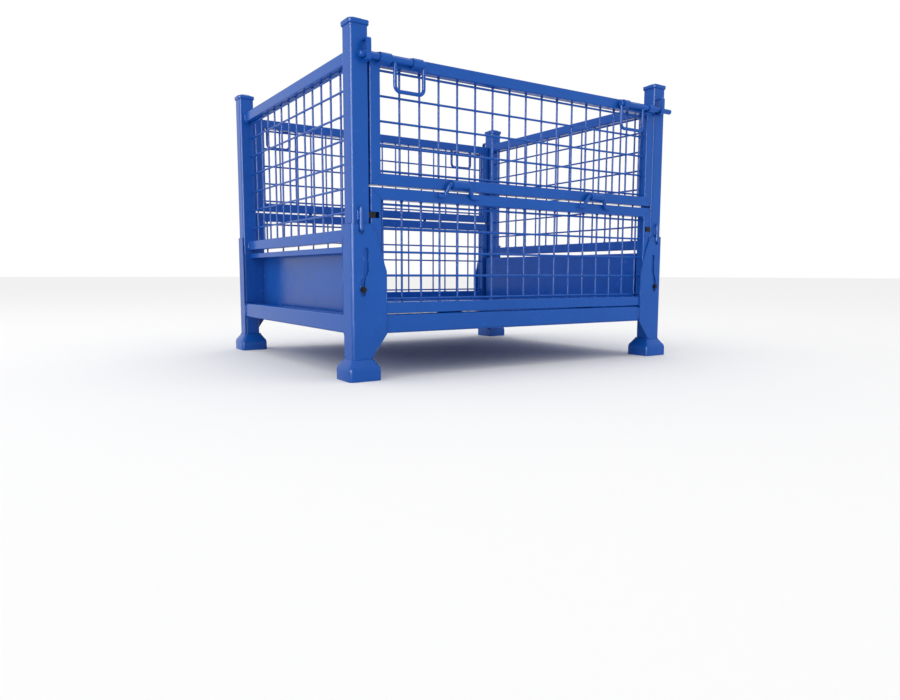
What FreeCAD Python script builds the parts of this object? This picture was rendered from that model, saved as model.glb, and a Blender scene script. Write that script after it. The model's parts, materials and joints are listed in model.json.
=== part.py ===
"""Stacking wire mesh container: a welded steel base on four cup feet, two mesh end frames whose
posts stand in corner sockets, and two mesh walls, each a fixed lower gate and a drop-down upper gate.

Frame: millimetres, +Z up, origin on the floor under the middle of the container.
The front wall faces -Y. The back wall is the front wall's mirror image.
"""
import FreeCAD, Part
import math
import os
from FreeCAD import Vector

# ---- driving dimensions -------------------------------------------------------------------------
FOOT_SPAN_X = 1200.0        # over the outer faces of the feet
FOOT_SPAN_Y = 1000.0
HEIGHT = 912.0              # floor to the top of the post caps
POST = 50.0                 # square tube of the posts, legs and base rails
POST_WALL = 3.0
POST_CORNER = 7.0           # outer corner radius of that tube
FOOT = 92.0                 # width of a cup foot
GATE_TUBE = 30.0            # square tube of the gate frames
GATE_WALL = 2.0
GATE_CORNER = 3.0
END_TUBE = 32.0             # square tube of the end frames
BEARER_TUBE = 40.0          # square tube under the deck
BEARER_CORNER = 4.0
SHEET = 3.0                 # side panels and deck
SOCKET_PLATE = 4.0          # folded corner sockets
WIRE = 6.0                  # mesh wire
WELD_SINK = 0.6             # how far crossing wires melt into each other

# ---- heights ------------------------------------------------------------------------------------
SKIRT_TOP = 27.0            # straight skirt of a foot
CUP_CEILING = 50.0          # the cap of the container below stops here
WAIST = 57.0                # top of a foot
BASE_BOTTOM = 121.0         # base rails
BASE_TOP = BASE_BOTTOM + POST
LOWER_GATE_Z = (173.5, 500.0)
UPPER_GATE_Z = (506.0, 835.0)
END_TOP_RAIL_Z = (813.5, 845.5)
END_LOW_RAIL_Z = (362.5, 394.5)
DECK_TOP = BASE_TOP - POST_CORNER
PANEL_TOP = 350.0
CAP_BOTTOM = 894.0
CAP_SEAT = 4.0              # how far a post reaches into its cap
POST_BOTTOM = BASE_TOP + 2.0
SOCKET_TOP = 405.0

# ---- plan positions -----------------------------------------------------------------------------
FOOT_OVERHANG = 21.0        # foot beyond the post's outer faces
POST_OUT_X = FOOT_SPAN_X / 2 - FOOT_OVERHANG
POST_OUT_Y = FOOT_SPAN_Y / 2 - FOOT_OVERHANG
POST_IN_X = POST_OUT_X - POST
POST_IN_Y = POST_OUT_Y - POST
POST_X = POST_OUT_X - POST / 2
POST_Y = POST_OUT_Y - POST / 2
GATE_GAP = 3.0              # between a gate and the posts
GATE_HALF = POST_IN_X - GATE_GAP
FRONT = -POST_OUT_Y         # plane of the front faces of the posts and gates

# ---- mesh ---------------------------------------------------------------------------------------
GATE_WIRES_X = 17
GATE_WIRES_Z = 5
# pitch along X, pitch along Z, height of the lowest level wire
LOWER_MESH = (60.3, 62.0, 211.5)
UPPER_MESH = (61.0, 63.0, 544.5)
END_WIRE_PITCH_Y = 65.0
END_WIRES_Y = 13
END_WIRE_PITCH_Z = 63.5
END_WIRES_Z = 6
END_MESH_FIRST_Z = 441.8
END_MESH_TOP_Z = 808.5      # last level wire, close under the top rail
MESH_DEPTH = 20.0           # outer wires' axis behind the frame's outer face

# ---- gate hinges --------------------------------------------------------------------------------
HINGE_X = 259.0             # left and right of the middle
HINGE_Z = 520.0             # turning axis of the upper gate
ROD_STANDOFF = 13.0         # hinge and latch rods' axes in front of the gate faces
HINGE_ROD_R = 6.0
HINGE_SADDLE_WIDTH = 50.0
HINGE_BEND_X = 32.0         # where the rod turns down, from its middle
HINGE_FOOT_X = 46.0         # where it meets the lower gate
HINGE_TOE_X = 67.0          # end of the level foot
HINGE_FOOT_Z = 488.5
HINGE_BEND = 8.0
SADDLE_PLATE = 4.0
SADDLE_PLAY = 0.5           # radial, around the rods

# ---- latches ------------------------------------------------------------------------------------
LATCH_Z = 819.5
LATCH_R = 8.0
HANDLE_R = 5.0
HANDLE_DROP = 77.0
HANDLE_BEND = 15.0
HANDLE_PLAY = 0.3           # between a handle's ends and its rod
# along X, measured away from the middle on each side
LEFT_LATCH = {"tip": 561.0, "outer_leg": 460.5, "inner_leg": 375.0,
              "outer_saddle": (473.0, 505.0), "inner_saddle": (381.0, 409.0)}
RIGHT_LATCH = {"tip": 590.0, "outer_leg": 458.0, "inner_leg": 360.0,
               "outer_saddle": (482.0, 510.0), "inner_saddle": (366.0, 390.0)}
KEEPER_X = (534.0, 547.0)   # strap the rod is thrown through, on the post
KEEPER_Z = (805.0, 860.0)
KEEPER_PROUD = 27.0
KEEPER_PLATE = 5.0

# ---- corner sockets -----------------------------------------------------------------------------
# outlines of the plates: distance from the socket's outer corner, height
SOCKET_FRONT = ((58.0, SOCKET_TOP), (88.0, 326.0), (92.0, 305.0), (99.0, 284.0), (99.0, BASE_BOTTOM),
                (54.0, WAIST))
SOCKET_SIDE = ((54.0, SOCKET_TOP), (54.0, 356.0), (57.0, 346.0), (57.0, BASE_BOTTOM),
               (54.0, BASE_BOTTOM - 6.0), (54.0, WAIST))
SLOT_LOW = 30.5             # slot's distance from the socket's outer face, below and above the jog
SLOT_HIGH = 40.5
SLOT_WIDTH = 13.0
SLOT_Z = (218.5, 258.0, 285.0, 345.0)   # bottom, jog start, jog end, top
PIN_Z = 237.0
HOOK_Z = (385.0, 450.0)
HOOK_R = 6.0
HOOK_OFFSET = 27.0
NOTCH_WIDTH = 16.0
NOTCH_DEPTH = 27.0

# ---- side panels --------------------------------------------------------------------------------
PANEL_X = 508.0             # outer face of the sheet
PANEL_LIP_X = 555.0         # outer face of the turned-down lip
PANEL_RETURN_X = 547.0      # outer edge of the two upright returns
PANEL_LIP = 16.0

# ---- lock bolts of the lower gates --------------------------------------------------------------
BOLT_Z = (421.5, 436.5)
BOLT_X = (511.0, 537.0)
BOLT_BACK = (3.0, 23.0)     # front and back faces behind the gate's face
WINDOW_X = 502.0            # inner end of the window in the gate's upright
WINDOW_PLAY = 0.5


# ---- small helpers ------------------------------------------------------------------------------
def box(x, y, z):
    """Block between the pairs x, y and z."""
    return Part.makeBox(x[1] - x[0], y[1] - y[0], z[1] - z[0], Vector(x[0], y[0], z[0]))


def rod(start, end, radius):
    """Round bar between two points."""
    a, b = Vector(*start), Vector(*end)
    return Part.makeCylinder(radius, (b - a).Length, a, b - a)


def prism(points, depth):
    """Flat outline of (x, y, z) corners, pushed along depth."""
    corners = [Vector(*p) for p in points]
    face = Part.Face(Part.makePolygon(corners + corners[:1]))
    return face.extrude(Vector(*depth))


def square_loop(half, z):
    """Closed square outline about the Z axis."""
    corners = ((-half, -half), (half, -half), (half, half), (-half, half), (-half, -half))
    return Part.makePolygon([Vector(x, y, z) for x, y in corners])


def rounded_bar(x, y, z, along, radius):
    """Block with its four long edges rounded; along is 'x', 'y' or 'z'."""
    block = box(x, y, z)
    direction = {"x": Vector(1, 0, 0), "y": Vector(0, 1, 0), "z": Vector(0, 0, 1)}[along]
    long_edges = [e for e in block.Edges if abs(e.tangentAt(e.FirstParameter).dot(direction)) > 0.99]
    return block.makeFillet(radius, long_edges)


def square_tube(x, y, z, along, wall, corner):
    """Hollow rectangular tube with rounded outer corners."""
    spans = {"x": x, "y": y, "z": z}
    inner = {}
    for name, (low, high) in spans.items():
        inner[name] = (low - 1, high + 1) if name == along else (low + wall, high - wall)
    outside = rounded_bar(x, y, z, along, corner)
    inside = rounded_bar(inner["x"], inner["y"], inner["z"], along, max(corner - wall, 0.8))
    return outside.cut(inside)


def bent_rod(points, radius, bend):
    """Round bar along straight runs joined by arcs of one bend radius."""
    corners = [Vector(*p) for p in points]
    edges = []
    here = corners[0]
    for before, corner, after in zip(corners, corners[1:], corners[2:]):
        back = (before - corner).normalize()
        ahead = (after - corner).normalize()
        half = math.acos(max(-1.0, min(1.0, back.dot(ahead)))) / 2
        reach = bend / math.tan(half)
        middle = (back + ahead).normalize() * (bend / math.sin(half) - bend)
        arc_start, arc_end = corner + back * reach, corner + ahead * reach
        edges.append(Part.LineSegment(here, arc_start).toShape())
        edges.append(Part.Arc(arc_start, corner + middle, arc_end).toShape())
        here = arc_end
    edges.append(Part.LineSegment(here, corners[-1]).toShape())
    path = Part.Wire(edges)
    ring = Part.Wire(Part.makeCircle(radius, corners[0], corners[1] - corners[0]))
    return path.makePipeShell([ring], True, True)


def mirrored(shape):
    """The same part on the right-hand side."""
    return shape.mirror(Vector(0, 0, 0), Vector(1, 0, 0))


def to_back(shape):
    """The same part on the back wall."""
    return shape.mirror(Vector(0, 0, 0), Vector(0, 1, 0))


def export(name, solids):
    """Write one node: a solid or a group of separate solids."""
    shape = solids[0] if len(solids) == 1 else Part.makeCompound(solids)
    assert shape.isValid(), name
    shape.exportStep("parts/%s.step" % name)
    print("%-26s %2d solids  %10.0f mm3" % (name, len(shape.Solids), shape.Volume))


def export_corners(name, front_left, front_right):
    """Four nodes, one per corner, from the two front ones."""
    export(name + "_front_left", [front_left])
    export(name + "_front_right", [front_right])
    export(name + "_back_left", [to_back(front_left)])
    export(name + "_back_right", [to_back(front_right)])


def export_walls(name, front):
    """Two nodes, front and back, from the front wall's solids."""
    export(name + "_front", front)
    export(name + "_back", [to_back(s) for s in front])


# ---- base ---------------------------------------------------------------------------------------
def foot():
    """Cup foot: straight skirt, rounded shoulder and sloping top, folded from plate and welded."""
    half = FOOT / 2
    waist_half = POST / 2 + SOCKET_PLATE
    plate = 4.0

    def vault(skirt_half, skirt_bottom, shoulder, top_half, top):
        """Solid with the same outline seen from the front and from the side."""
        knee = Vector(skirt_half - 1.6, 0, shoulder + 8.0)
        slope_start = Vector(skirt_half - 6.2, 0, shoulder + 15.0)
        edges = [
            Part.LineSegment(Vector(0, 0, skirt_bottom), Vector(skirt_half, 0, skirt_bottom)),
            Part.LineSegment(Vector(skirt_half, 0, skirt_bottom), Vector(skirt_half, 0, shoulder)),
            Part.Arc(Vector(skirt_half, 0, shoulder), knee, slope_start),
            Part.LineSegment(slope_start, Vector(top_half, 0, top)),
            Part.LineSegment(Vector(top_half, 0, top), Vector(0, 0, top)),
            Part.LineSegment(Vector(0, 0, top), Vector(0, 0, skirt_bottom)),
        ]
        section = Part.Face(Part.Wire([e.toShape() for e in edges]))
        right = section.extrude(Vector(0, 2 * half, 0))
        right.translate(Vector(0, -half, 0))
        both = right.fuse(right.mirror(Vector(0, 0, 0), Vector(1, 0, 0))).removeSplitter()
        crossways = both.copy()
        crossways.rotate(Vector(0, 0, 0), Vector(0, 0, 1), 90)
        return both.common(crossways)

    shell = vault(half, 0, SKIRT_TOP, waist_half, WAIST)
    cavity_half = half - plate
    hollow = box((-cavity_half, cavity_half), (-cavity_half, cavity_half), (-1, SKIRT_TOP - 1))
    roof_half = POST / 2 + 1.0
    narrowing = Part.makeLoft([square_loop(cavity_half, SKIRT_TOP - 1), square_loop(roof_half, CUP_CEILING)],
                              True, True)
    shell = shell.cut(hollow.fuse(narrowing))
    shell.translate(Vector(-POST_X, -POST_Y, 0))
    return shell


def leg():
    """Short tube between a foot and the underside of the post."""
    return square_tube((-POST_OUT_X, -POST_IN_X), (-POST_OUT_Y, -POST_IN_Y), (WAIST, BASE_TOP),
                       "z", POST_WALL, POST_CORNER)


def base_rails():
    """Front and left rails, butted against the legs."""
    front = square_tube((-POST_IN_X, POST_IN_X), (-POST_OUT_Y, -POST_IN_Y),
                        (BASE_BOTTOM, BASE_TOP), "x", POST_WALL, POST_CORNER)
    left = square_tube((-POST_OUT_X, -POST_IN_X), (-POST_IN_Y, POST_IN_Y),
                       (BASE_BOTTOM, BASE_TOP), "y", POST_WALL, POST_CORNER)
    return front, left


def deck():
    """Floor sheet between the base rails, level with the start of their rounded top corners."""
    return box((-POST_IN_X, POST_IN_X), (-POST_IN_Y, POST_IN_Y), (DECK_TOP - SHEET, DECK_TOP))


def deck_bearers():
    """Cross tubes under the floor, from the front rail to the back rail."""
    top = DECK_TOP - SHEET
    half = BEARER_TUBE / 2
    return [square_tube((x - half, x + half), (-POST_IN_Y, POST_IN_Y), (top - BEARER_TUBE, top),
                        "y", POST_WALL, BEARER_CORNER)
            for x in (-POST_IN_X / 2, 0.0, POST_IN_X / 2)]


def side_panel():
    """Left end's lower sheet: a shallow tray standing on the deck, open to the outside."""
    sheet_in = -PANEL_X + SHEET
    profile = [(-PANEL_X, DECK_TOP), (-PANEL_X, PANEL_TOP - SHEET), (-PANEL_LIP_X + SHEET, PANEL_TOP - SHEET),
               (-PANEL_LIP_X + SHEET, PANEL_TOP - PANEL_LIP), (-PANEL_LIP_X, PANEL_TOP - PANEL_LIP),
               (-PANEL_LIP_X, PANEL_TOP), (sheet_in, PANEL_TOP), (sheet_in, DECK_TOP)]
    panel = prism([(x, -POST_IN_Y, z) for x, z in profile], (0, 2 * POST_IN_Y, 0))
    folds = [e for e in panel.Edges if e.BoundBox.YLength > POST_IN_Y
             and abs(e.BoundBox.ZMin - PANEL_TOP) < 0.01]
    panel = panel.makeFillet(SHEET - 0.5, folds)
    for side in (-1, 1):
        y = sorted((side * POST_IN_Y, side * (POST_IN_Y - SHEET)))
        panel = panel.fuse(box((-PANEL_RETURN_X, -PANEL_X + SHEET / 2), y, (BASE_TOP, PANEL_TOP - SHEET / 2)))
    return panel.removeSplitter()


# ---- corner sockets -----------------------------------------------------------------------------
def socket():
    """Folded plate around the front and outer faces of a post, with its notch and dog-leg slot."""
    out_x = -POST_OUT_X - SOCKET_PLATE
    out_y = -POST_OUT_Y - SOCKET_PLATE
    front_width = max(off for off, z in SOCKET_FRONT)
    side_width = max(off for off, z in SOCKET_SIDE)
    inner_bend = 5.0
    reach = 1.0
    z_span = (WAIST, SOCKET_TOP)
    blank = box((out_x, out_x + front_width), (out_y, -POST_OUT_Y), z_span)
    blank = blank.fuse(box((out_x, -POST_OUT_X), (out_y, out_y + side_width), z_span)).removeSplitter()

    def fold_edge(x, y):
        return [e for e in blank.Edges if e.BoundBox.ZLength > 300
                and abs(e.BoundBox.XMin - x) < 0.01 and abs(e.BoundBox.YMin - y) < 0.01]

    blank = blank.makeFillet(inner_bend + SOCKET_PLATE, fold_edge(out_x, out_y))
    blank = blank.makeFillet(inner_bend, fold_edge(-POST_OUT_X, -POST_OUT_Y))

    def cutter(outline, corner):
        """Outline closed around the fold, a little beyond the plate's ends."""
        first, last = outline[0], outline[-1]
        points = [(-reach, first[1] + reach), (first[0], first[1] + reach)] + list(outline)
        points += [(last[0], last[1] - reach), (-reach, last[1] - reach)]
        return [corner(off, z) for off, z in points]

    front = prism(cutter(SOCKET_FRONT, lambda off, z: (out_x + off, out_y - reach, z)),
                  (0, SOCKET_PLATE + inner_bend + reach, 0))
    side = prism(cutter(SOCKET_SIDE, lambda off, z: (out_x - reach, out_y + off, z)),
                 (SOCKET_PLATE + inner_bend + reach, 0, 0))
    plate = blank.common(front.fuse(side))

    y_span = (out_y - reach, -POST_OUT_Y + reach)
    notch_x = out_x + HOOK_OFFSET
    notch_bottom = SOCKET_TOP - NOTCH_DEPTH + NOTCH_WIDTH / 2
    notch = box((notch_x - NOTCH_WIDTH / 2, notch_x + NOTCH_WIDTH / 2), y_span,
                (notch_bottom, SOCKET_TOP + reach))
    notch = notch.fuse(rod((notch_x, y_span[0], notch_bottom), (notch_x, y_span[1], notch_bottom),
                           NOTCH_WIDTH / 2))
    plate = plate.cut(notch)

    half = SLOT_WIDTH / 2
    z_bottom, z_jog, z_straight, z_top = SLOT_Z
    centres = [(SLOT_LOW, z_bottom + half), (SLOT_LOW, z_jog), (SLOT_HIGH, z_straight),
               (SLOT_HIGH, z_top - half)]
    for (off_a, z_a), (off_b, z_b) in zip(centres, centres[1:]):
        length = math.hypot(off_b - off_a, z_b - z_a)
        nx, nz = (z_b - z_a) / length * half, (off_b - off_a) / length * half
        x_a, x_b = out_x + off_a, out_x + off_b
        run = prism([(x_a - nx, y_span[0], z_a + nz), (x_b - nx, y_span[0], z_b + nz),
                     (x_b + nx, y_span[0], z_b - nz), (x_a + nx, y_span[0], z_a - nz)],
                    (0, y_span[1] - y_span[0], 0))
        plate = plate.cut(run)
    for off, z in centres:
        plate = plate.cut(rod((out_x + off, y_span[0], z), (out_x + off, y_span[1], z), half))
    return plate


def socket_pin():
    """Stud on the post that runs in the socket's slot, with its nut outside."""
    x = -POST_OUT_X - SOCKET_PLATE + SLOT_LOW
    nut_back = FRONT - SOCKET_PLATE - 0.5
    nut_flats = 15.0
    nut_thick = 5.0
    stud_end = 3.0
    stud_r = 4.5
    corner = nut_flats / math.sqrt(3)
    stud = rod((x, FRONT, PIN_Z), (x, nut_back - nut_thick - stud_end, PIN_Z), stud_r)
    hexagon = [(x + corner * math.cos(math.radians(60 * i)), nut_back,
                PIN_Z + corner * math.sin(math.radians(60 * i))) for i in range(6)]
    return stud.fuse(prism(hexagon, (0, -nut_thick, 0)))


def lift_hook():
    """Round bar with a domed top, welded upright on the post's front face."""
    x = -POST_OUT_X - SOCKET_PLATE + HOOK_OFFSET
    y = FRONT - HOOK_R + 0.4
    bar = rod((x, y, HOOK_Z[0] + HOOK_R), (x, y, HOOK_Z[1] - HOOK_R), HOOK_R)
    for z in (HOOK_Z[0] + HOOK_R, HOOK_Z[1] - HOOK_R):
        bar = bar.fuse(Part.makeSphere(HOOK_R, Vector(x, y, z)))
    post_side = box((x - 10, x + 10), (FRONT, FRONT + 10), (HOOK_Z[0] - 1, HOOK_Z[1] + 1))
    return bar.cut(post_side)


# ---- end frames ---------------------------------------------------------------------------------
def post():
    """Corner post, with the mouth for the lower gate's lock bolt in its inner face."""
    tube = square_tube((-POST_OUT_X, -POST_IN_X), (-POST_OUT_Y, -POST_IN_Y),
                       (POST_BOTTOM, CAP_BOTTOM + CAP_SEAT), "z", POST_WALL, POST_CORNER)
    mouth = box((-BOLT_X[1] - 1, -POST_IN_X + 1),
                (FRONT + BOLT_BACK[0] - WINDOW_PLAY, FRONT + BOLT_BACK[1] + WINDOW_PLAY),
                (BOLT_Z[0] - WINDOW_PLAY, BOLT_Z[1] + WINDOW_PLAY))
    return tube.cut(mouth)


def post_cap():
    """Pressed cap over the post's top, standing proud all round, with a crowned top."""
    half = POST / 2 + 4.0
    rim_top = CAP_BOTTOM + 11.0
    rim_corner = 11.0
    rim_edge = 3.0
    crown_half = 13.0
    crown_corner = 8.0
    overlap = 1.5
    rim = rounded_bar((-half, half), (-half, half), (CAP_BOTTOM, rim_top), "z", rim_corner)
    rim = rim.makeFillet(rim_edge, [e for e in rim.Edges if abs(e.BoundBox.ZMax - CAP_BOTTOM) < 0.01])
    crown = Part.makeLoft([square_loop(half - 1.2, rim_top - overlap), square_loop(crown_half, HEIGHT)],
                          True, True)
    crown = crown.makeFillet(crown_corner, [e for e in crown.Edges if e.BoundBox.ZLength > 1.0])
    cap = rim.fuse(crown)
    seat = POST / 2
    cap = cap.cut(box((-seat, seat), (-seat, seat), (CAP_BOTTOM - 1, CAP_BOTTOM + CAP_SEAT)))
    cap.translate(Vector(-POST_X, -POST_Y, 0))
    return cap


def end_rails():
    """Left end's top and bottom rails, between the posts and flush with their inner faces."""
    x = (-POST_IN_X - END_TUBE, -POST_IN_X)
    y = (-POST_IN_Y, POST_IN_Y)
    return [square_tube(x, y, z, "y", GATE_WALL, GATE_CORNER)
            for z in (END_TOP_RAIL_Z, END_LOW_RAIL_Z)]


def spread(count, pitch):
    """Positions of equally spaced wires about the middle."""
    return [(i - (count - 1) / 2) * pitch for i in range(count)]


def welded(wires):
    """One mat from wires that melt together where they cross."""
    return wires[0].multiFuse(wires[1:])


def end_mesh():
    """Left end's welded mat: level wires outside, upright wires inside."""
    r = WIRE / 2
    x_level = -POST_IN_X - END_TUBE + MESH_DEPTH
    x_upright = x_level + WIRE - WELD_SINK
    z_span = (END_LOW_RAIL_Z[1], END_TOP_RAIL_Z[0])
    heights = [END_MESH_FIRST_Z + i * END_WIRE_PITCH_Z for i in range(END_WIRES_Z)] + [END_MESH_TOP_Z]
    level = [rod((x_level, -POST_IN_Y, z), (x_level, POST_IN_Y, z), r) for z in heights]
    upright = [rod((x_upright, y, z_span[0]), (x_upright, y, z_span[1]), r)
               for y in spread(END_WIRES_Y, END_WIRE_PITCH_Y)]
    return welded(level + upright)


# ---- gates --------------------------------------------------------------------------------------
def gate_frame(z_span, window=None):
    """Four tubes with mitred corners; window is cut in both uprights."""
    y = (FRONT, FRONT + GATE_TUBE)
    z_low, z_high = z_span
    middle_z = (z_low + z_high) / 2
    half_height = (z_high - z_low) / 2

    def wedge(points):
        return prism([(px, y[0] - 1, pz) for px, pz in points], (0, GATE_TUBE + 2, 0))

    inner_x, inner_z = GATE_HALF - GATE_TUBE, half_height - GATE_TUBE
    tubes = []
    for side in (-1, 1):
        z_edge = middle_z + side * half_height
        rail_z = sorted((z_edge, z_edge - side * GATE_TUBE))
        rail = square_tube((-GATE_HALF, GATE_HALF), y, rail_z, "x", GATE_WALL, GATE_CORNER)
        keep = wedge([(-GATE_HALF, z_edge), (GATE_HALF, z_edge), (inner_x, middle_z + side * inner_z),
                      (-inner_x, middle_z + side * inner_z)])
        tubes.append(rail.common(keep))
    for side in (-1, 1):
        x_edge = side * GATE_HALF
        upright_x = sorted((x_edge, x_edge - side * GATE_TUBE))
        upright = square_tube(upright_x, y, z_span, "z", GATE_WALL, GATE_CORNER)
        keep = wedge([(x_edge, z_low), (x_edge, z_high), (side * inner_x, middle_z + inner_z),
                      (side * inner_x, middle_z - inner_z)])
        upright = upright.common(keep)
        if window:
            upright = upright.cut(window(side))
        tubes.append(upright)
    return tubes


def bolt_window(side):
    """Opening through the front and outer walls of the lower gate's upright."""
    x = sorted((side * WINDOW_X, side * (GATE_HALF + 1)))
    z = (BOLT_Z[0] - WINDOW_PLAY, BOLT_Z[1] + WINDOW_PLAY)
    back = FRONT + BOLT_BACK[1] + WINDOW_PLAY
    front_slot = box(x, (FRONT - 1, FRONT + GATE_WALL + 1), z)
    side_slot = box(sorted((side * (GATE_HALF - GATE_WALL - 1), side * (GATE_HALF + 1))),
                    (FRONT - 1, back), z)
    return front_slot.fuse(side_slot)


def gate_mesh(z_span, mat):
    """A gate's welded mat: level wires in front, upright wires behind."""
    pitch_x, pitch_z, first_z = mat
    r = WIRE / 2
    y_level = FRONT + MESH_DEPTH
    y_upright = y_level + WIRE - WELD_SINK
    half = GATE_HALF - GATE_TUBE
    level = [rod((-half, y_level, first_z + i * pitch_z), (half, y_level, first_z + i * pitch_z), r)
             for i in range(GATE_WIRES_Z)]
    upright = [rod((x, y_upright, z_span[0] + GATE_TUBE), (x, y_upright, z_span[1] - GATE_TUBE), r)
               for x in spread(GATE_WIRES_X, pitch_x)]
    return welded(level + upright)


def lower_gate_hinges():
    """Concealed hinges inside the wall, between the base rail and the lower gate."""
    barrel_r = 5.0
    half_length = 40.0
    leaf = 2.5
    back = FRONT + GATE_TUBE
    z = BASE_TOP + barrel_r
    y = back + barrel_r + leaf
    hinges = []
    for x in (-HINGE_X, HINGE_X):
        barrel = rod((x - half_length, y, z), (x + half_length, y, z), barrel_r)
        gate_leaf = box((x - half_length, x + half_length), (back, back + leaf),
                        (z, LOWER_GATE_Z[0] + GATE_TUBE - 4))
        tongue = box((x - half_length, x + half_length), (back, y), (z, z + leaf))
        hinges.append(barrel.fuse([gate_leaf, tongue]))
    return hinges


def saddle(x_span, z_axis, rod_radius):
    """Strap bent over a rod and welded to the gate's face by its two ends."""
    inner = rod_radius + SADDLE_PLAY
    outer = inner + SADDLE_PLATE
    axis_y = FRONT - ROD_STANDOFF
    flange = 3.5
    strap = rod((x_span[0], axis_y, z_axis), (x_span[1], axis_y, z_axis), outer)
    strap = strap.fuse(box(x_span, (axis_y, FRONT), (z_axis - outer, z_axis + outer)))
    strap = strap.cut(rod((x_span[0] - 1, axis_y, z_axis), (x_span[1] + 1, axis_y, z_axis), inner))
    strap = strap.cut(box((x_span[0] - 1, x_span[1] + 1), (axis_y, FRONT + 1),
                          (z_axis - inner, z_axis + inner)))
    weld = [prism([(x_span[0], FRONT, z_axis + s * outer), (x_span[0], FRONT - flange, z_axis + s * outer),
                   (x_span[0], FRONT, z_axis + s * (outer + flange))], (x_span[1] - x_span[0], 0, 0))
            for s in (-1, 1)]
    return strap.fuse(weld).removeSplitter()


def hinge_saddles():
    """Straps on the upper gate's bottom rail."""
    half = HINGE_SADDLE_WIDTH / 2
    return [saddle((x - half, x + half), HINGE_Z, HINGE_ROD_R) for x in (-HINGE_X, HINGE_X)]


def hinge_rods():
    """Rods bent down and outwards from the saddles to their level feet on the lower gate."""
    axis_y = FRONT - ROD_STANDOFF
    foot_y = FRONT - HINGE_ROD_R + 0.4
    rods = []
    for x in (-HINGE_X, HINGE_X):
        half = [(HINGE_BEND_X, axis_y, HINGE_Z), (HINGE_FOOT_X, foot_y, HINGE_FOOT_Z),
                (HINGE_TOE_X, foot_y, HINGE_FOOT_Z)]
        points = [(x - off, y, z) for off, y, z in reversed(half)] + [(x + off, y, z) for off, y, z in half]
        bar = bent_rod(points, HINGE_ROD_R, HINGE_BEND)
        gate_side = box((x - 80, x + 80), (FRONT, FRONT + 10), (HINGE_FOOT_Z - 20, HINGE_Z + 10))
        rods.append(bar.cut(gate_side))
    return rods


# ---- latches ------------------------------------------------------------------------------------
def latch_rod(spec, side):
    """Round bar thrown through the keeper; side is -1 on the left and 1 on the right."""
    y = FRONT - ROD_STANDOFF
    chamfer = 1.5
    bar = rod((side * (spec["inner_leg"] - HANDLE_R), y, LATCH_Z), (side * spec["tip"], y, LATCH_Z), LATCH_R)
    return bar.makeChamfer(chamfer, [e for e in bar.Edges if e.BoundBox.XLength < 0.01])


def latch_handle(spec, side):
    """Bent bar hanging from the latch rod, its ends shaped to the rod."""
    y = FRONT - ROD_STANDOFF
    low = LATCH_Z - HANDLE_DROP
    bar = bent_rod([(side * spec["outer_leg"], y, LATCH_Z), (side * spec["outer_leg"], y, low),
                    (side * spec["inner_leg"], y, low), (side * spec["inner_leg"], y, LATCH_Z)],
                   HANDLE_R, HANDLE_BEND)
    bore = rod((side * (spec["inner_leg"] - 20), y, LATCH_Z), (side * (spec["outer_leg"] + 20), y, LATCH_Z),
               LATCH_R + HANDLE_PLAY)
    return bar.cut(bore)


def latch_saddles():
    """Straps that guide both latch rods on the upper gate's top rail."""
    straps = []
    for spec, side in ((LEFT_LATCH, -1), (RIGHT_LATCH, 1)):
        for key in ("outer_saddle", "inner_saddle"):
            x_span = sorted(side * x for x in spec[key])
            straps.append(saddle(x_span, LATCH_Z, LATCH_R))
    return straps


def keeper(side):
    """Strap on the post's front face that holds the thrown latch rod."""
    x = sorted(side * x for x in KEEPER_X)
    y = (FRONT - KEEPER_PROUD, FRONT)
    block = box(x, y, KEEPER_Z)
    bend = [e for e in block.Edges if e.BoundBox.XLength > 1 and abs(e.BoundBox.YMin - y[0]) < 0.01]
    block = block.makeFillet(KEEPER_PLATE + 3.0, bend)
    hole = box((x[0] - 1, x[1] + 1), (y[0] + KEEPER_PLATE, y[1] + 1),
               (KEEPER_Z[0] + KEEPER_PLATE, KEEPER_Z[1] - KEEPER_PLATE))
    bend = [e for e in hole.Edges if e.BoundBox.XLength > 1
            and abs(e.BoundBox.YMin - y[0] - KEEPER_PLATE) < 0.01]
    return block.cut(hole.makeFillet(3.0, bend))


def lock_bolt():
    """Flat bolt in the left end of the lower gate, thrown into the post."""
    bolt = box((-BOLT_X[1], -BOLT_X[0]), (FRONT + BOLT_BACK[0], FRONT + BOLT_BACK[1]), BOLT_Z)
    nose = [e for e in bolt.Edges if e.BoundBox.YLength > 1 and abs(e.BoundBox.XMin + BOLT_X[1]) < 0.01]
    return bolt.makeChamfer(2.0, nose)


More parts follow.
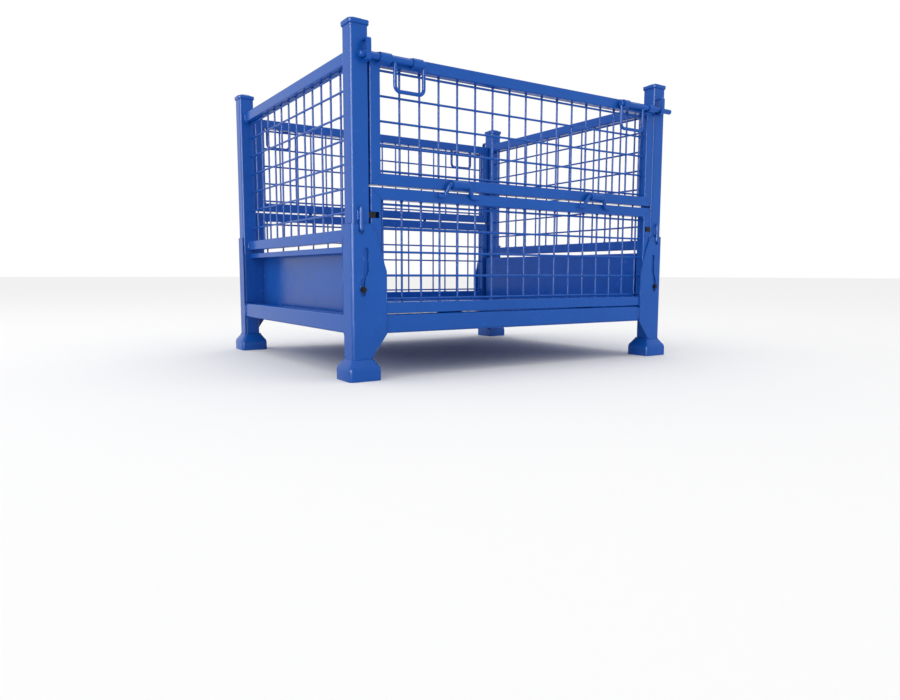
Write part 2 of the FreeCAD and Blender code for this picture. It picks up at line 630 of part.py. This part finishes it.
# ---- build --------------------------------------------------------------------------------------
def main():
    os.makedirs("parts", exist_ok=True)

    export_corners("foot", foot(), mirrored(foot()))
    export_corners("leg", leg(), mirrored(leg()))
    export_corners("socket", socket(), mirrored(socket()))
    export_corners("post", post(), mirrored(post()))

    hook, cap, pin = lift_hook(), post_cap(), socket_pin()
    for name, solid in (("lift_hooks", hook), ("post_caps", cap), ("socket_pins", pin)):
        pair = [solid, mirrored(solid)]
        export(name, pair + [to_back(s) for s in pair])

    front_rail, left_rail = base_rails()
    export_walls("base_rail", [front_rail])
    panel, rails, mat = side_panel(), end_rails(), end_mesh()
    for side, place in (("left", lambda s: s), ("right", mirrored)):
        export("base_rail_" + side, [place(left_rail)])
        export("side_panel_" + side, [place(panel)])
        export("end_rails_" + side, [place(s) for s in rails])
        export("end_mesh_" + side, [place(mat)])
    export("deck_sheet", [deck()])
    export("deck_bearers", deck_bearers())

    export_walls("lower_gate_frame", gate_frame(LOWER_GATE_Z, bolt_window))
    export_walls("lower_gate_mesh", [gate_mesh(LOWER_GATE_Z, LOWER_MESH)])
    export_walls("lower_gate_hinges", lower_gate_hinges())
    export_walls("upper_gate_frame", gate_frame(UPPER_GATE_Z))
    export_walls("upper_gate_mesh", [gate_mesh(UPPER_GATE_Z, UPPER_MESH)])
    export_walls("hinge_saddles", hinge_saddles())
    export_walls("hinge_rods", hinge_rods())
    export_walls("latch_saddles", latch_saddles())

    export_corners("latch_rod", latch_rod(LEFT_LATCH, -1), latch_rod(RIGHT_LATCH, 1))
    export_corners("latch_handle", latch_handle(LEFT_LATCH, -1), latch_handle(RIGHT_LATCH, 1))
    keepers = [keeper(-1), keeper(1)]
    export("keepers", keepers + [to_back(s) for s in keepers])
    bolt = lock_bolt()
    export_corners("lock_bolt", bolt, mirrored(bolt))


main()
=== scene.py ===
import json
import math
import random

import bpy
from mathutils import Matrix, Vector


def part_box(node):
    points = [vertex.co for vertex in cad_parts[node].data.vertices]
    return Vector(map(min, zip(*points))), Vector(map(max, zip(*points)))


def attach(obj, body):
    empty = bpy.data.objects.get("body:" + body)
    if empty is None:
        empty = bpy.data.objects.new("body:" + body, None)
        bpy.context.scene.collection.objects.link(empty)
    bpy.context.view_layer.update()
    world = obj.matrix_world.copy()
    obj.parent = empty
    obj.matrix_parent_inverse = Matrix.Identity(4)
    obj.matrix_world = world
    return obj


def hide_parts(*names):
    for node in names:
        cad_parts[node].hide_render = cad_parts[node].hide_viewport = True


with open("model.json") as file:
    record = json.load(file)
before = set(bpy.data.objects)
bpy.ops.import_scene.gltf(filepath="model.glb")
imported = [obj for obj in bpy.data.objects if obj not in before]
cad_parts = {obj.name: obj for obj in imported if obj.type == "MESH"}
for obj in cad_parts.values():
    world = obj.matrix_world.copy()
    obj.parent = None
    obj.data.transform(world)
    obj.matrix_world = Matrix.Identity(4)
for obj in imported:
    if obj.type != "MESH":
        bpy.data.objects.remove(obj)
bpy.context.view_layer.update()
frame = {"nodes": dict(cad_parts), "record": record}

# Lengths are in metres unless a comment says otherwise. sign, sx and sy are -1 on the left and
# the front and 1 on the right and the back, so they point away from the goods.
ENDS = {"left": -1, "right": 1}
WALLS = {"front": -1, "back": 1}
CORNERS = {"front_left": (-1, -1), "front_right": (1, -1), "back_left": (-1, 1), "back_right": (1, 1)}

# ---- viewpoint ----------------------------------------------------------------------------------
CAMERA_PLACE = (-1.3578, -2.1197, 0.2777)
CAMERA_YAW = math.radians(33.24)      # from +Y towards +X
CAMERA_PITCH = math.radians(-6.18)
CAMERA_ROLL = math.radians(0.12)
CAMERA_LENS = 28.05                   # mm
SENSOR_WIDTH = 36.0                   # mm

# ---- room and light -----------------------------------------------------------------------------
ROOM_LIGHT = 1.0
FLOOR_TONE = 0.88
FLOOR_REACH = 60.0
LAMP_AIM = (0.0, 0.0, 0.45)
# glint_left lights only the gloss of the paint; the two panels light everything
LAMPS = {
    "glint_left": {"place": (-4.6, -2.5, 1.2), "size": (5.5, 3.0), "power": 750.0, "gloss_only": True},
    "panel_left": {"place": (-5.5, 0.8, 3.6), "size": (4.0, 4.0), "power": 50.0, "gloss_only": False},
    "panel_above": {"place": (0.0, -0.4, 3.8), "size": (3.0, 3.0), "power": 14.0, "gloss_only": False},
}

# ---- paint --------------------------------------------------------------------------------------
PAINT = (0.0075, 0.088, 0.41)         # linear colour of the blue enamel
BLACK = (0.004, 0.004, 0.005)
ENAMEL_IOR = 1.5
DRIFT_SCALE = 3.0                     # slow drift of tone
MOTTLE_SCALE = 24.0                   # finer mottle of tone and gloss
NOISE = {"detail": 3.0, "roughness": 0.55}
NOISE_SPAN = (0.3, 0.7)               # most of a noise texture lies between these
ROUGHNESS_DRIFT = (-0.04, 0.06)       # how far the mottle takes the roughness down and up

# ---- mesh wires, tubes and rods, as in the solid model ------------------------------------------
WIRE = 0.006
UPRIGHT_DEPTH = 0.0084                # axis of the upright wires behind the mat's outer side
LOWER_GATE_MAT = {"uprights": 17, "pitch": 0.0603, "levels": 5, "rise": 0.062, "first": 0.2115}
UPPER_GATE_MAT = {"uprights": 17, "pitch": 0.061, "levels": 5, "rise": 0.063, "first": 0.5445}
END_MAT = {"uprights": 13, "pitch": 0.065, "levels": 6, "rise": 0.0635, "first": 0.4418}
GATE_TUBE = 0.030
END_TUBE = 0.032
HOOK_RADIUS = 0.006
HOOK_PROUD = 0.0116                   # how far a lift hook stands out of its post's face
HINGE_ROD = 0.012                     # thickness of a bent hinge rod
HINGE_TOE = 0.067                     # from the middle of a hinge rod to the tip of its level foot
HINGE_SEAM = 0.018                    # from that tip to the far end of the foot's welds

# ---- sockets, as in the solid model -------------------------------------------------------------
SOCKET_PLATE = 0.004
SOCKET_TOP = 0.405
SOCKET_FOLD = 0.009                   # where the flat of a plate starts, beside the folded corner
# outlines: distance from the socket's outer side, height
SOCKET_FRONT = ((0.058, SOCKET_TOP), (0.088, 0.326), (0.092, 0.305), (0.099, 0.284), (0.099, 0.121),
                (0.054, 0.059))
SOCKET_SIDE = ((SOCKET_FOLD, SOCKET_TOP), (0.054, SOCKET_TOP), (0.054, 0.356), (0.057, 0.346),
               (0.057, 0.172))
HOOK_OFFSET = 0.027                   # middle of the notch that takes the lift hook
NOTCH_HALF = 0.008
NOTCH_DEPTH = 0.027
SLOT_LOW = 0.0305                     # middle of the slot below its jog
SLOT_HIGH = 0.0405                    # and above it
SLOT_HALF = 0.0065
SLOT_Z = (0.2185, 0.258, 0.285, 0.345)    # bottom, jog's start, jog's end, top

# ---- feet, as in the solid model but with rounded corners ---------------------------------------
FOOT_PLATE = 0.004
FOOT_SHOULDER = 0.027                 # top of a foot's straight skirt
SHOULDER_ROUND = 0.0212               # radius of the bend above the skirt, seen from the side
SHOULDER_RISE = 0.015                 # height of that bend
SHOULDER_STEPS = 4
FOOT_WAIST = 0.029                    # half width where the leg stands on it
FOOT_BEVEL = 0.0012                   # on the lower edge
CUP_HALF = 0.026                      # half width of the cup's ceiling
CUP_CEILING = 0.050
# corner radii seen from above: outside, at the waist, inside the skirt, at the cup's ceiling
FOOT_CORNER = 0.010
WAIST_CORNER = 0.007
SKIRT_CORNER = 0.006
CUP_CORNER = 0.003
CORNER_STEPS = 6
SHARP_FROM = math.radians(35)         # edges bent more than this stay crisp

# ---- radii of the weld beads, the lumps and the plate edges -------------------------------------
UPRIGHT_LUMP = 0.0048
LEVEL_LUMP = 0.0046
MITRE_BEAD = 0.0011
CORNER_FILLET = 0.0042
RAIL_END_BEAD = 0.0030
RAIL_EDGE_BEAD = 0.0026
SOCKET_WALL_BEAD = 0.0032
SOCKET_END_BEAD = 0.0030
LEG_BEAD = 0.0030
HOOK_OUTER_BEAD = 0.0036
HOOK_INNER_BEAD = 0.0024
FOOT_BEAD = 0.0022
HINGE_FOOT_BEAD = 0.0024
HINGE_TIP_BEAD = 0.0022
PLATE_EDGE = 0.0010                   # painted edge of a plate
EDGE_SUNK = 0.0003                    # how far the middle of that edge lies inside the plate

rng = random.Random(20)


# ---- materials ----------------------------------------------------------------------------------
def node(tree, kind, place=(0, 0), **values):
    """New shader node at a place in the node editor, with its inputs or properties set by name."""
    made = tree.nodes.new(kind)
    made.location = place
    for key, value in values.items():
        name = key.replace("_", " ")
        found = next((s for s in made.inputs if s.name.lower() == name and s.enabled), None)
        if found is not None:
            found.default_value = value
        else:
            setattr(made, key, value)
    return made


def enamel(name, colour, roughness=0.22, patch=0.05, gloss=0.2):
    """Sprayed enamel on steel: a slow drift of tone, and a finer mottle of tone and gloss."""
    material = bpy.data.materials.new(name)
    material.use_nodes = True
    tree = material.node_tree
    tree.nodes.clear()
    link = tree.links.new
    out = node(tree, "ShaderNodeOutputMaterial", (900, 0))
    shader = node(tree, "ShaderNodeBsdfPrincipled", (620, 0))
    shader.inputs["IOR"].default_value = ENAMEL_IOR
    shader.inputs["Specular IOR Level"].default_value = gloss
    link(shader.outputs["BSDF"], out.inputs["Surface"])
    place = node(tree, "ShaderNodeTexCoord", (-1100, 0))

    drift = node(tree, "ShaderNodeTexNoise", (-800, 250), scale=DRIFT_SCALE, **NOISE)
    mottle = node(tree, "ShaderNodeTexNoise", (-800, 0), scale=MOTTLE_SCALE, **NOISE)
    for texture in (drift, mottle):
        link(place.outputs["Object"], texture.inputs["Vector"])

    def graded(texture, low, high, y):
        shaped = node(tree, "ShaderNodeMapRange", (-560, y))
        shaped.inputs["From Min"].default_value = NOISE_SPAN[0]
        shaped.inputs["From Max"].default_value = NOISE_SPAN[1]
        shaped.inputs["To Min"].default_value = low
        shaped.inputs["To Max"].default_value = high
        link(texture.outputs["Fac"], shaped.inputs["Value"])
        return shaped.outputs["Result"]

    tone = node(tree, "ShaderNodeMath", (-320, 150), operation="MULTIPLY")
    link(graded(drift, 1.0 - patch, 1.0 + patch, 250), tone.inputs[0])
    link(graded(mottle, 1.0 - patch / 2, 1.0 + patch / 2, 0), tone.inputs[1])
    hue = node(tree, "ShaderNodeHueSaturation", (60, 150), color=(*colour, 1.0))
    link(tone.outputs["Value"], hue.inputs["Value"])
    link(hue.outputs["Color"], shader.inputs["Base Color"])
    smoothest, roughest = (roughness + change for change in ROUGHNESS_DRIFT)
    link(graded(mottle, smoothest, roughest, -200), shader.inputs["Roughness"])
    return material


def floor_paper():
    """Matt, nearly white paper without any gloss."""
    material = bpy.data.materials.new("floor_paper")
    material.use_nodes = True
    shader = material.node_tree.nodes["Principled BSDF"]
    shader.inputs["Base Color"].default_value = (FLOOR_TONE, FLOOR_TONE, FLOOR_TONE, 1.0)
    shader.inputs["Roughness"].default_value = 0.9
    shader.inputs["Specular IOR Level"].default_value = 0.0
    return material


def paint_all(obj, material):
    """Give every face of a piece one material."""
    obj.data.materials.clear()
    obj.data.materials.append(material)
    for face in obj.data.polygons:
        face.material_index = 0


def add_object(name, data):
    """New object in the scene."""
    made = bpy.data.objects.new(name, data)
    bpy.context.scene.collection.objects.link(made)
    return made


# ---- weld detail --------------------------------------------------------------------------------
class Welds:
    """Beads, lumps and plate edges of one body, gathered into one mesh."""

    FACETS = 8                 # around a bead or a lump
    BEAD_STEP = 0.0025         # from one ring of a bead to the next
    SHORTEST = 6               # rings, at least
    END_RINGS = 2              # over this many rings a bead tapers off
    BLUNT = 0.05               # square of its radius at the very end, as a share
    RIPPLE = 0.10              # share of the radius
    RIPPLE_TURN = 2.1          # radians from ring to ring
    UNEVEN = 0.07              # random share of the radius
    WANDER = 0.08              # random sideways drift, as a share of the radius
    LUMP_ROWS = 5
    LUMP_SIZES = (0.85, 1.15)

    def __init__(self):
        self.points = []
        self.faces = []

    def rings(self, centres, radii, across, over):
        """Closed lumpy tube through the centres, round in the plane of across and over."""
        facets = self.FACETS
        start = len(self.points)
        for centre, radius in zip(centres, radii):
            for i in range(facets):
                angle = 2 * math.pi * i / facets
                offset = across * math.cos(angle) + over * math.sin(angle)
                self.points.append(centre + offset * radius)
        for row in range(len(centres) - 1):
            for i in range(facets):
                j = (i + 1) % facets
                a = start + row * facets
                b = a + facets
                self.faces.append((a + i, a + j, b + j, b + i))
        last = start + (len(centres) - 1) * facets
        self.faces.append(tuple(start + i for i in reversed(range(facets))))
        self.faces.append(tuple(last + i for i in range(facets)))

    def bead(self, begin, end, radius):
        """Rippled weld bead along a straight seam."""
        begin, end = Vector(begin), Vector(end)
        along = end - begin
        count = max(self.SHORTEST, int(along.length / self.BEAD_STEP))
        ahead = along.normalized()
        side = Vector((0, 0, 1)) if abs(ahead.z) < 0.9 else Vector((1, 0, 0))
        across = ahead.cross(side).normalized()
        over = across.cross(ahead)
        phase = rng.uniform(0, 6)
        centres, radii = [], []
        for i in range(count + 1):
            t = i / count
            from_middle = abs(2 * t - 1) * count / 2
            into_end = max(0.0, from_middle - (count / 2 - self.END_RINGS))
            taper = math.sqrt(max(self.BLUNT, 1 - into_end ** 2 / self.END_RINGS ** 2))
            wave = self.RIPPLE * math.sin(phase + i * self.RIPPLE_TURN)
            ripple = 1 + wave + rng.uniform(-self.UNEVEN, self.UNEVEN)
            wander = across * rng.uniform(-self.WANDER, self.WANDER) * radius
            centres.append(begin + along * t + wander)
            radii.append(radius * taper * ripple)
        self.rings(centres, radii, across, over)

    def lump(self, centre, radius, flat=(1, 1, 1)):
        """Small rounded lump of weld metal."""
        scale = Vector(flat) * radius * rng.uniform(*self.LUMP_SIZES)
        start = len(self.points)
        rows, facets = self.LUMP_ROWS, self.FACETS
        turn = rng.uniform(0, 3)
        for row in range(1, rows):
            polar = math.pi * row / rows
            for i in range(facets):
                angle = turn + 2 * math.pi * i / facets
                unit = (math.sin(polar) * math.cos(angle), math.sin(polar) * math.sin(angle), math.cos(polar))
                self.points.append(Vector(c + u * s for c, u, s in zip(centre, unit, scale)))
        for row in range(rows - 2):
            for i in range(facets):
                j = (i + 1) % facets
                a = start + row * facets
                b = a + facets
                self.faces.append((a + i, b + i, b + j, a + j))
        self.faces.append(tuple(start + i for i in range(facets)))
        last = start + (rows - 2) * facets
        self.faces.append(tuple(last + i for i in reversed(range(facets))))

    def edge(self, points, outward):
        """Smooth rounded edge along a line of points on a plate that faces outward."""
        for begin, end in zip(points, points[1:]):
            ahead = (end - begin).normalized()
            across = ahead.cross(outward).normalized()
            over = across.cross(ahead)
            lap = ahead * PLATE_EDGE / 2
            self.rings([begin - lap, end + lap], [PLATE_EDGE, PLATE_EDGE], across, over)

    def finish(self, name, body, material):
        """Make the piece, which rides on its body."""
        mesh = bpy.data.meshes.new(name)
        mesh.from_pydata([tuple(p) for p in self.points], [], self.faces)
        mesh.validate()
        mesh.shade_smooth()
        mesh.materials.append(material)
        piece = add_object(name, mesh)
        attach(piece, body)


def wire_ends(welds, mesh_node, mat, outside, lengthways):
    """Lumps where a mat's wires meet their frame.

    outside is the mat's outer direction as (axis, sign); lengthways is the axis along the mat.
    """
    low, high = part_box(mesh_node)
    axis, sign = outside
    outer = low[axis] if sign < 0 else high[axis]
    level_depth = outer - sign * WIRE / 2
    upright_depth = outer - sign * UPRIGHT_DEPTH

    def point(depth, run, z):
        place = [0.0, 0.0, z]
        place[axis] = depth
        place[lengthways] = run
        return place

    for i in range(mat["uprights"]):
        run = (i - (mat["uprights"] - 1) / 2) * mat["pitch"]
        for z in (low.z, high.z):
            welds.lump(point(upright_depth, run, z), UPRIGHT_LUMP, (1, 1, 0.8))
    for i in range(mat["levels"]):
        z = mat["first"] + i * mat["rise"]
        for run in (low[lengthways], high[lengthways]):
            welds.lump(point(level_depth, run, z), LEVEL_LUMP)


def mitre_seams(welds, frame_node):
    """Ground-down welds across the four mitred corners, and the fillets inside the opening."""
    low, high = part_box(frame_node)
    seam_gap = 0.002
    fillet_gap = 0.004
    sunk = 0.0005
    opening = GATE_TUBE + sunk
    for x, inward_x in ((low.x, 1), (high.x, -1)):
        for z, inward_z in ((low.z, 1), (high.z, -1)):
            for y in (low.y, high.y):
                begin = (x + inward_x * seam_gap, y, z + inward_z * seam_gap)
                end = (x + inward_x * GATE_TUBE, y, z + inward_z * GATE_TUBE)
                welds.bead(begin, end, MITRE_BEAD)
            corner_x = x + inward_x * opening
            corner_z = z + inward_z * opening
            begin = (corner_x, low.y + fillet_gap, corner_z)
            end = (corner_x, high.y - fillet_gap, corner_z)
            welds.bead(begin, end, CORNER_FILLET)


def end_rail_welds(welds, side, sign):
    """Fillets around the ends of an end frame's rails, against the posts."""
    low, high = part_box("end_rails_" + side)
    outer = low.x if sign < 0 else high.x
    inner = high.x if sign < 0 else low.x
    upright_gap = 0.003
    outer_gap = 0.004
    inner_gap = 0.008
    level_begin = outer - sign * outer_gap
    level_end = inner + sign * inner_gap
    for y in (low.y, high.y):
        for bottom in (low.z, high.z - END_TUBE):
            top = bottom + END_TUBE
            welds.bead((outer, y, bottom + upright_gap), (outer, y, top - upright_gap), RAIL_END_BEAD)
            for z in (top, bottom):
                welds.bead((level_begin, y, z), (level_end, y, z), RAIL_EDGE_BEAD)


def socket_welds(welds, corner, sx, sy):
    """Fillets where a corner socket lies on the base rails, and around the leg on its foot."""
    low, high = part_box("socket_" + corner)
    rail_low, rail_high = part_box("base_rail_front")
    inner_x = high.x if sx < 0 else low.x
    inner_y = high.y if sy < 0 else low.y
    face_x = (low.x + SOCKET_PLATE) if sx < 0 else (high.x - SOCKET_PLATE)
    face_y = (low.y + SOCKET_PLATE) if sy < 0 else (high.y - SOCKET_PLATE)
    bottom_gap = 0.004
    top_gap = 0.006
    bottom = rail_low.z + bottom_gap
    top = rail_high.z - top_gap
    welds.bead((inner_x, face_y, bottom), (inner_x, face_y, top), SOCKET_WALL_BEAD)
    welds.bead((face_x, inner_y, bottom), (face_x, inner_y, top), SOCKET_END_BEAD)

    leg_low, leg_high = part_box("leg_" + corner)
    lift = 0.0005
    gap = 0.006
    z = leg_low.z + lift
    back_y = leg_high.y if sy < 0 else leg_low.y
    back_x = leg_high.x if sx < 0 else leg_low.x
    welds.bead((leg_low.x + gap, back_y, z), (leg_high.x - gap, back_y, z), LEG_BEAD)
    welds.bead((back_x, leg_low.y + gap, z), (back_x, leg_high.y - gap, z), LEG_BEAD)


def socket_edges(welds, corner, sx, sy):
    """Rounded edges of a socket's plates: outlines with the hook notch, and the slot."""
    low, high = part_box("socket_" + corner)
    face_y = low.y + EDGE_SUNK if sy < 0 else high.y - EDGE_SUNK
    outer_x = low.x if sx < 0 else high.x
    outer_y = low.y if sy < 0 else high.y
    face_x = outer_x - sx * EDGE_SUNK
    facing_x = Vector((1, 0, 0))
    facing_y = Vector((0, 1, 0))
    welds.edge([Vector((face_x, outer_y - sy * offset, z)) for offset, z in SOCKET_SIDE], facing_x)

    def line(profile):
        return [Vector((outer_x - sx * offset, face_y, z)) for offset, z in profile]

    def half_turn(offset, z, radius, start, finish, steps=8):
        angles = [math.radians(start + (finish - start) * i / steps) for i in range(steps + 1)]
        return [(offset + radius * math.cos(a), z + radius * math.sin(a)) for a in angles]

    top = high.z
    notch_bottom = top - NOTCH_DEPTH + NOTCH_HALF
    outline = [(SOCKET_FOLD, top), (HOOK_OFFSET - NOTCH_HALF, top)]
    outline += half_turn(HOOK_OFFSET, notch_bottom, NOTCH_HALF, 180, 360)
    outline += [(HOOK_OFFSET + NOTCH_HALF, top), *SOCKET_FRONT]
    welds.edge(line(outline), facing_y)

    slot_bottom, jog_start, jog_end, slot_top = SLOT_Z
    slot = half_turn(SLOT_LOW, slot_bottom + SLOT_HALF, SLOT_HALF, 180, 360)
    slot += [(SLOT_LOW + SLOT_HALF, jog_start), (SLOT_HIGH + SLOT_HALF, jog_end)]
    slot += half_turn(SLOT_HIGH, slot_top - SLOT_HALF, SLOT_HALF, 0, 180)
    slot += [(SLOT_HIGH - SLOT_HALF, jog_end), (SLOT_LOW - SLOT_HALF, jog_start), slot[0]]
    welds.edge(line(slot), facing_y)


def foot_bead(welds, corner):
    """Weld around the top of a cup foot, under the leg and socket."""
    low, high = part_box("foot_" + corner)
    middle = (low + high) / 2
    corner_gap = 0.003
    run = FOOT_WAIST - corner_gap
    z = high.z
    for side in (-FOOT_WAIST, FOOT_WAIST):
        welds.bead((middle.x - run, middle.y + side, z), (middle.x + run, middle.y + side, z), FOOT_BEAD)
        welds.bead((middle.x + side, middle.y - run, z), (middle.x + side, middle.y + run, z), FOOT_BEAD)


def hinge_foot_welds(welds, wall, sign):
    """Beads over and under the level feet of the bent hinge rods, and at their tips."""
    low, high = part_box("hinge_rods_" + wall)
    gate_low, gate_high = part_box("lower_gate_frame_" + wall)
    face_y = gate_low.y if sign < 0 else gate_high.y
    bottom, top = low.z, low.z + HINGE_ROD
    sunk = 0.0006
    gap = 0.002
    for middle in (low.x + HINGE_TOE, high.x - HINGE_TOE):
        for side in (-1, 1):
            tip = middle + side * HINGE_TOE
            begin_x = tip - side * gap
            end_x = tip - side * HINGE_SEAM
            for z in (bottom + sunk, top - sunk):
                welds.bead((begin_x, face_y, z), (end_x, face_y, z), HINGE_FOOT_BEAD)
            welds.bead((tip, face_y, bottom + gap), (tip, face_y, top - gap), HINGE_TIP_BEAD)


def hook_welds(welds):
    """A heavy bead down the outer side of every lift hook's upper half, a light one down the inner."""
    low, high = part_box("lift_hooks")
    top_gap = 0.008
    outer_reach = 0.0065
    inner_reach = 0.0055
    top = high.z - top_gap
    bottom = top - (high.z - low.z) / 2
    for sx in ENDS.values():
        middle = sx * (high.x - HOOK_RADIUS)
        outer = middle + sx * outer_reach
        inner = middle - sx * inner_reach
        for y in (low.y + HOOK_PROUD, high.y - HOOK_PROUD):
            welds.bead((outer, y, bottom), (outer, y, top), HOOK_OUTER_BEAD)
            welds.bead((inner, y, bottom), (inner, y, top), HOOK_INNER_BEAD)


def base_welds(material):
    """Everything welded on the base body."""
    welds = Welds()
    for side, sign in ENDS.items():
        end_rail_welds(welds, side, sign)
        wire_ends(welds, "end_mesh_" + side, END_MAT, (0, sign), 1)
    for corner, (sx, sy) in CORNERS.items():
        socket_welds(welds, corner, sx, sy)
        socket_edges(welds, corner, sx, sy)
        foot_bead(welds, corner)
    for wall, sign in WALLS.items():
        mitre_seams(welds, "lower_gate_frame_" + wall)
        wire_ends(welds, "lower_gate_mesh_" + wall, LOWER_GATE_MAT, (1, sign), 0)
        hinge_foot_welds(welds, wall, sign)
    hook_welds(welds)
    welds.finish("welds_base", "base", material)


def gate_welds(material):
    """Welds of the two swinging gates."""
    for wall, sign in WALLS.items():
        welds = Welds()
        mitre_seams(welds, "upper_gate_frame_" + wall)
        wire_ends(welds, "upper_gate_mesh_" + wall, UPPER_GATE_MAT, (1, sign), 0)
        welds.finish("welds_upper_gate_" + wall, "upper_gate_" + wall, material)


# ---- feet ---------------------------------------------------------------------------------------
def foot_rings(half, top):
    """Half width, height and corner radius of a foot's rings, from the cup's ceiling to the waist."""
    rings = [(CUP_HALF, CUP_CEILING, CUP_CORNER),
             (half - FOOT_PLATE, FOOT_SHOULDER, SKIRT_CORNER),
             (half - FOOT_PLATE, 0.0, SKIRT_CORNER),
             (half - FOOT_BEVEL, 0.0, FOOT_CORNER - FOOT_BEVEL),
             (half, FOOT_BEVEL, FOOT_CORNER)]
    for i in range(SHOULDER_STEPS + 1):
        rise = SHOULDER_RISE * i / SHOULDER_STEPS
        inset = SHOULDER_ROUND - math.sqrt(SHOULDER_ROUND ** 2 - rise ** 2)
        rings.append((half - inset, FOOT_SHOULDER + rise, FOOT_CORNER))
    rings.append((FOOT_WAIST, top, WAIST_CORNER))
    return rings


def round_foot(corner, material):
    """Cup foot with rounded corners, open below, in place of the plain folded one."""
    low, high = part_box("foot_" + corner)
    middle = (low + high) / 2
    rings = foot_rings((high.x - low.x) / 2, high.z)
    points = []
    for reach, z, radius in rings:
        for quarter in range(4):
            turn = math.pi / 4 + quarter * math.pi / 2
            centre_x = middle.x + math.copysign(reach - radius, math.cos(turn))
            centre_y = middle.y + math.copysign(reach - radius, math.sin(turn))
            for i in range(CORNER_STEPS + 1):
                angle = quarter * math.pi / 2 + i / CORNER_STEPS * math.pi / 2
                points.append((centre_x + radius * math.cos(angle), centre_y + radius * math.sin(angle), z))
    around = 4 * (CORNER_STEPS + 1)
    faces = []
    for row in range(len(rings) - 1):
        for i in range(around):
            j = (i + 1) % around
            a = row * around
            b = a + around
            faces.append((a + j, b + j, b + i, a + i))
    faces.append(tuple(reversed(range(around))))
    faces.append(tuple(range(len(points) - around, len(points))))
    mesh = bpy.data.meshes.new("round_foot_" + corner)
    mesh.from_pydata(points, [], faces)
    mesh.validate()
    mesh.shade_smooth()
    mesh.set_sharp_from_angle(angle=SHARP_FROM)
    mesh.materials.append(material)
    piece = add_object("round_foot_" + corner, mesh)
    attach(piece, "base")
    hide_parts("foot_" + corner)


# ---- room ---------------------------------------------------------------------------------------
def pale_floor():
    """Plain pale floor, wide enough to reach the horizon."""
    reach = FLOOR_REACH
    mesh = bpy.data.meshes.new("studio_floor")
    mesh.from_pydata([(-reach, -reach, 0), (reach, -reach, 0), (reach, reach, 0), (-reach, reach, 0)],
                     [], [(0, 1, 2, 3)])
    mesh.materials.append(floor_paper())
    floor = add_object("studio_floor", mesh)


def white_room():
    """Even white light from all around."""
    world = bpy.data.worlds.new("studio_room")
    bpy.context.scene.world = world
    world.use_nodes = True
    background = world.node_tree.nodes["Background"]
    background.inputs["Color"].default_value = (1.0, 1.0, 1.0, 1.0)
    background.inputs["Strength"].default_value = ROOM_LIGHT


def soft_lamp(name, place, size, power, gloss_only):
    """Wide lamp aimed at the container, out of the camera's sight."""
    data = bpy.data.lights.new(name, "AREA")
    data.shape = "RECTANGLE"
    data.size, data.size_y = size
    data.energy = power
    lamp = add_object(name, data)
    lamp.location = place
    lamp.rotation_euler = (Vector(LAMP_AIM) - Vector(place)).to_track_quat("-Z", "Y").to_euler()
    lamp.visible_diffuse = not gloss_only
    lamp.visible_camera = False


def camera():
    """Camera at the viewpoint given above."""
    yaw, pitch, roll = CAMERA_YAW, CAMERA_PITCH, CAMERA_ROLL
    ahead = Vector((math.sin(yaw) * math.cos(pitch), math.cos(yaw) * math.cos(pitch), math.sin(pitch)))
    level = Vector((math.cos(yaw), -math.sin(yaw), 0.0))
    upright = level.cross(ahead)
    right = level * math.cos(roll) + upright * math.sin(roll)
    up = upright * math.cos(roll) - level * math.sin(roll)
    data = bpy.data.cameras.new("view")
    data.lens = CAMERA_LENS
    data.sensor_width = SENSOR_WIDTH
    data.clip_start = 0.05
    data.clip_end = 200.0
    eye = add_object("view", data)
    turn = Matrix((right, up, -ahead)).transposed()
    eye.matrix_world = Matrix.Translation(CAMERA_PLACE) @ turn.to_4x4()
    bpy.context.scene.camera = eye


# ---- make ---------------------------------------------------------------------------------------
bpy.context.scene.view_settings.view_transform = "Standard"
pale_floor()
white_room()
for lamp_name, lamp_values in LAMPS.items():
    soft_lamp(lamp_name, **lamp_values)
camera()

materials = {
    "painted_frame": enamel("enamel_frame", PAINT),
    "painted_plate": enamel("enamel_plate", PAINT, patch=0.07),
    "painted_mesh": enamel("enamel_mesh", PAINT, roughness=0.2),
    "painted_hardware": enamel("enamel_hardware", PAINT, roughness=0.2),
    "black_steel": enamel("black_steel", BLACK, roughness=0.3, gloss=0.3),
}
slot_of = {s["node"]: s["material_slot"] for s in frame["record"]["subparts"]}
for node_name, obj in frame["nodes"].items():
    paint_all(obj, materials[slot_of[node_name]])

for foot_corner in CORNERS:
    round_foot(foot_corner, materials["painted_plate"])
base_welds(materials["painted_frame"])
gate_welds(materials["painted_frame"])
